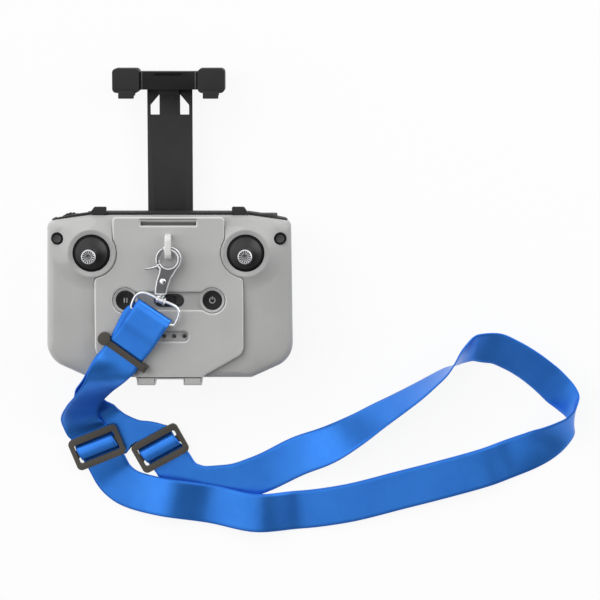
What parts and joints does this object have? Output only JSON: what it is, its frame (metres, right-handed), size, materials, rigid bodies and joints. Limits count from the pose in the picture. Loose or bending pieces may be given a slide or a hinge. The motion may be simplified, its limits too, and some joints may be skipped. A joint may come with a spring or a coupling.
{
  "type": "radio transmitter controller",
  "caption": "Handheld radio controller with two thumb sticks, a sliding phone clamp, and a clip-on strap bracket holding a blue neck strap by a snap hook.",
  "frame": {"origin": "on the flat back, under the middle of the body", "axes": "+Z out of the front face, +Y from the body towards the phone clamp, +X to the right as seen from the front"},
  "size_m": [0.3335, 0.2957, 0.06],
  "materials": {
    "shell_grey": "fine moulded grain",
    "bracket_grey": "smooth printed plastic with light edges",
    "eyelet_pale": "smooth pale plastic",
    "black_plastic": "fine grain, black",
    "black_rubber": "soft matte rubber",
    "gloss_black": "smooth black",
    "dark_grey": "satin dark grey",
    "chrome": "plated die casting",
    "aluminium": "turned and knurled",
    "steel": "machined steel",
    "webbing_blue": "satin woven webbing",
    "board_green": "circuit board",
    "cell_wrap": "shrink-wrapped cell",
    "clear_pipe": "clear moulded light pipe",
    "copper_strip": "plated antenna strip"
  },
  "bodies": {
    "case": {"front_shell": "shell_grey", "rear_shell": "shell_grey", "shoulder_trims": "gloss_black", "phone_rest": "black_rubber", "strap_bracket": "bracket_grey", "bracket_eyelet": "eyelet_pale", "case_screws": "steel", "status_lamps": "clear_pipe", "usb_socket": "steel", "main_board": "board_green", "side_boards": "board_green", "battery_pack": "cell_wrap", "left_gimbal_frame": "black_plastic", "right_gimbal_frame": "black_plastic", "mode_track": "black_plastic", "dial_axle": "steel", "clamp_guide": "black_plastic", "snap_hook": "chrome", "trigger_rivet": "chrome", "hook_swivel": "chrome", "d_ring": "chrome", "strap_tab": "webbing_blue", "neck_strap": "webbing_blue", "strap_keeper": "black_plastic", "left_slider": "black_plastic", "right_slider": "black_plastic"},
    "left_yoke": {"left_gimbal_yoke": "steel"},
    "left_stick": {"left_stick": "gloss_black", "left_stick_tip": "aluminium"},
    "right_yoke": {"right_gimbal_yoke": "steel"},
    "right_stick": {"right_stick": "gloss_black", "right_stick_tip": "aluminium"},
    "custom_button": {"custom_button": "dark_grey"},
    "camera_button": {"camera_button": "dark_grey"},
    "pause_button": {"pause_button": "gloss_black"},
    "power_button": {"power_button": "gloss_black"},
    "mode_slider": {"mode_slider": "black_plastic"},
    "thumb_dial": {"thumb_dial": "black_plastic"},
    "shutter_button": {"shutter_button": "dark_grey"},
    "clamp": {"clamp_stem": "black_plastic", "clamp_head": "black_plastic", "clamp_pads": "black_rubber", "clamp_lips": "black_rubber", "antenna_strips": "copper_strip"},
    "hook_trigger": {"hook_trigger": "chrome"}
  },
  "joints": [
    {"name": "left_stick_up_down", "type": "hinge", "parent": "case", "child": "left_yoke", "pos_m": [-0.0475, 0.0294, 0.024], "axis": [1, 0, 0], "range_deg": [-22, 22], "stiffness_Nm_per_rad": 0.06},
    {"name": "left_stick_left_right", "type": "hinge", "parent": "left_yoke", "child": "left_stick", "pos_m": [-0.0475, 0.0294, 0.024], "axis": [0, 1, 0], "range_deg": [-22, 22], "stiffness_Nm_per_rad": 0.06},
    {"name": "right_stick_up_down", "type": "hinge", "parent": "case", "child": "right_yoke", "pos_m": [0.0475, 0.0294, 0.024], "axis": [1, 0, 0], "range_deg": [-22, 22], "stiffness_Nm_per_rad": 0.06},
    {"name": "right_stick_left_right", "type": "hinge", "parent": "right_yoke", "child": "right_stick", "pos_m": [0.0475, 0.0294, 0.024], "axis": [0, 1, 0], "range_deg": [-22, 22], "stiffness_Nm_per_rad": 0.06},
    {"name": "custom_press", "type": "slide", "parent": "case", "child": "custom_button", "axis": [0, 0, -1], "range_m": [0, 0.0008], "stiffness_N_per_m": 900},
    {"name": "camera_press", "type": "slide", "parent": "case", "child": "camera_button", "axis": [0, 0, -1], "range_m": [0, 0.0008], "stiffness_N_per_m": 900},
    {"name": "pause_press", "type": "slide", "parent": "case", "child": "pause_button", "axis": [0, 0, -1], "range_m": [0, 0.0008], "stiffness_N_per_m": 900},
    {"name": "power_press", "type": "slide", "parent": "case", "child": "power_button", "axis": [0, 0, -1], "range_m": [0, 0.0008], "stiffness_N_per_m": 900},
    {"name": "mode_slide", "type": "slide", "parent": "case", "child": "mode_slider", "axis": [1, 0, 0], "range_m": [-0.0036, 0.0036]},
    {"name": "dial_turn", "type": "hinge", "parent": "case", "child": "thumb_dial", "pos_m": [-0.061, 0.0436, 0.0177], "axis": [0, 0, 1], "range_deg": [-30, 30], "stiffness_Nm_per_rad": 0.02},
    {"name": "shutter_press", "type": "slide", "parent": "case", "child": "shutter_button", "axis": [0, -1, 0], "range_m": [0, 0.0012], "stiffness_N_per_m": 900},
    {"name": "clamp_slide", "type": "slide", "parent": "case", "child": "clamp", "axis": [0, 1, 0], "range_m": [-0.07, 0.015]},
    {"name": "trigger_turn", "type": "hinge", "parent": "case", "child": "hook_trigger", "pos_m": [-0.0034, 0.0125, 0.042], "axis": [0, 0, 1], "range_deg": [0, 28], "stiffness_Nm_per_rad": 0.03}
  ]
}
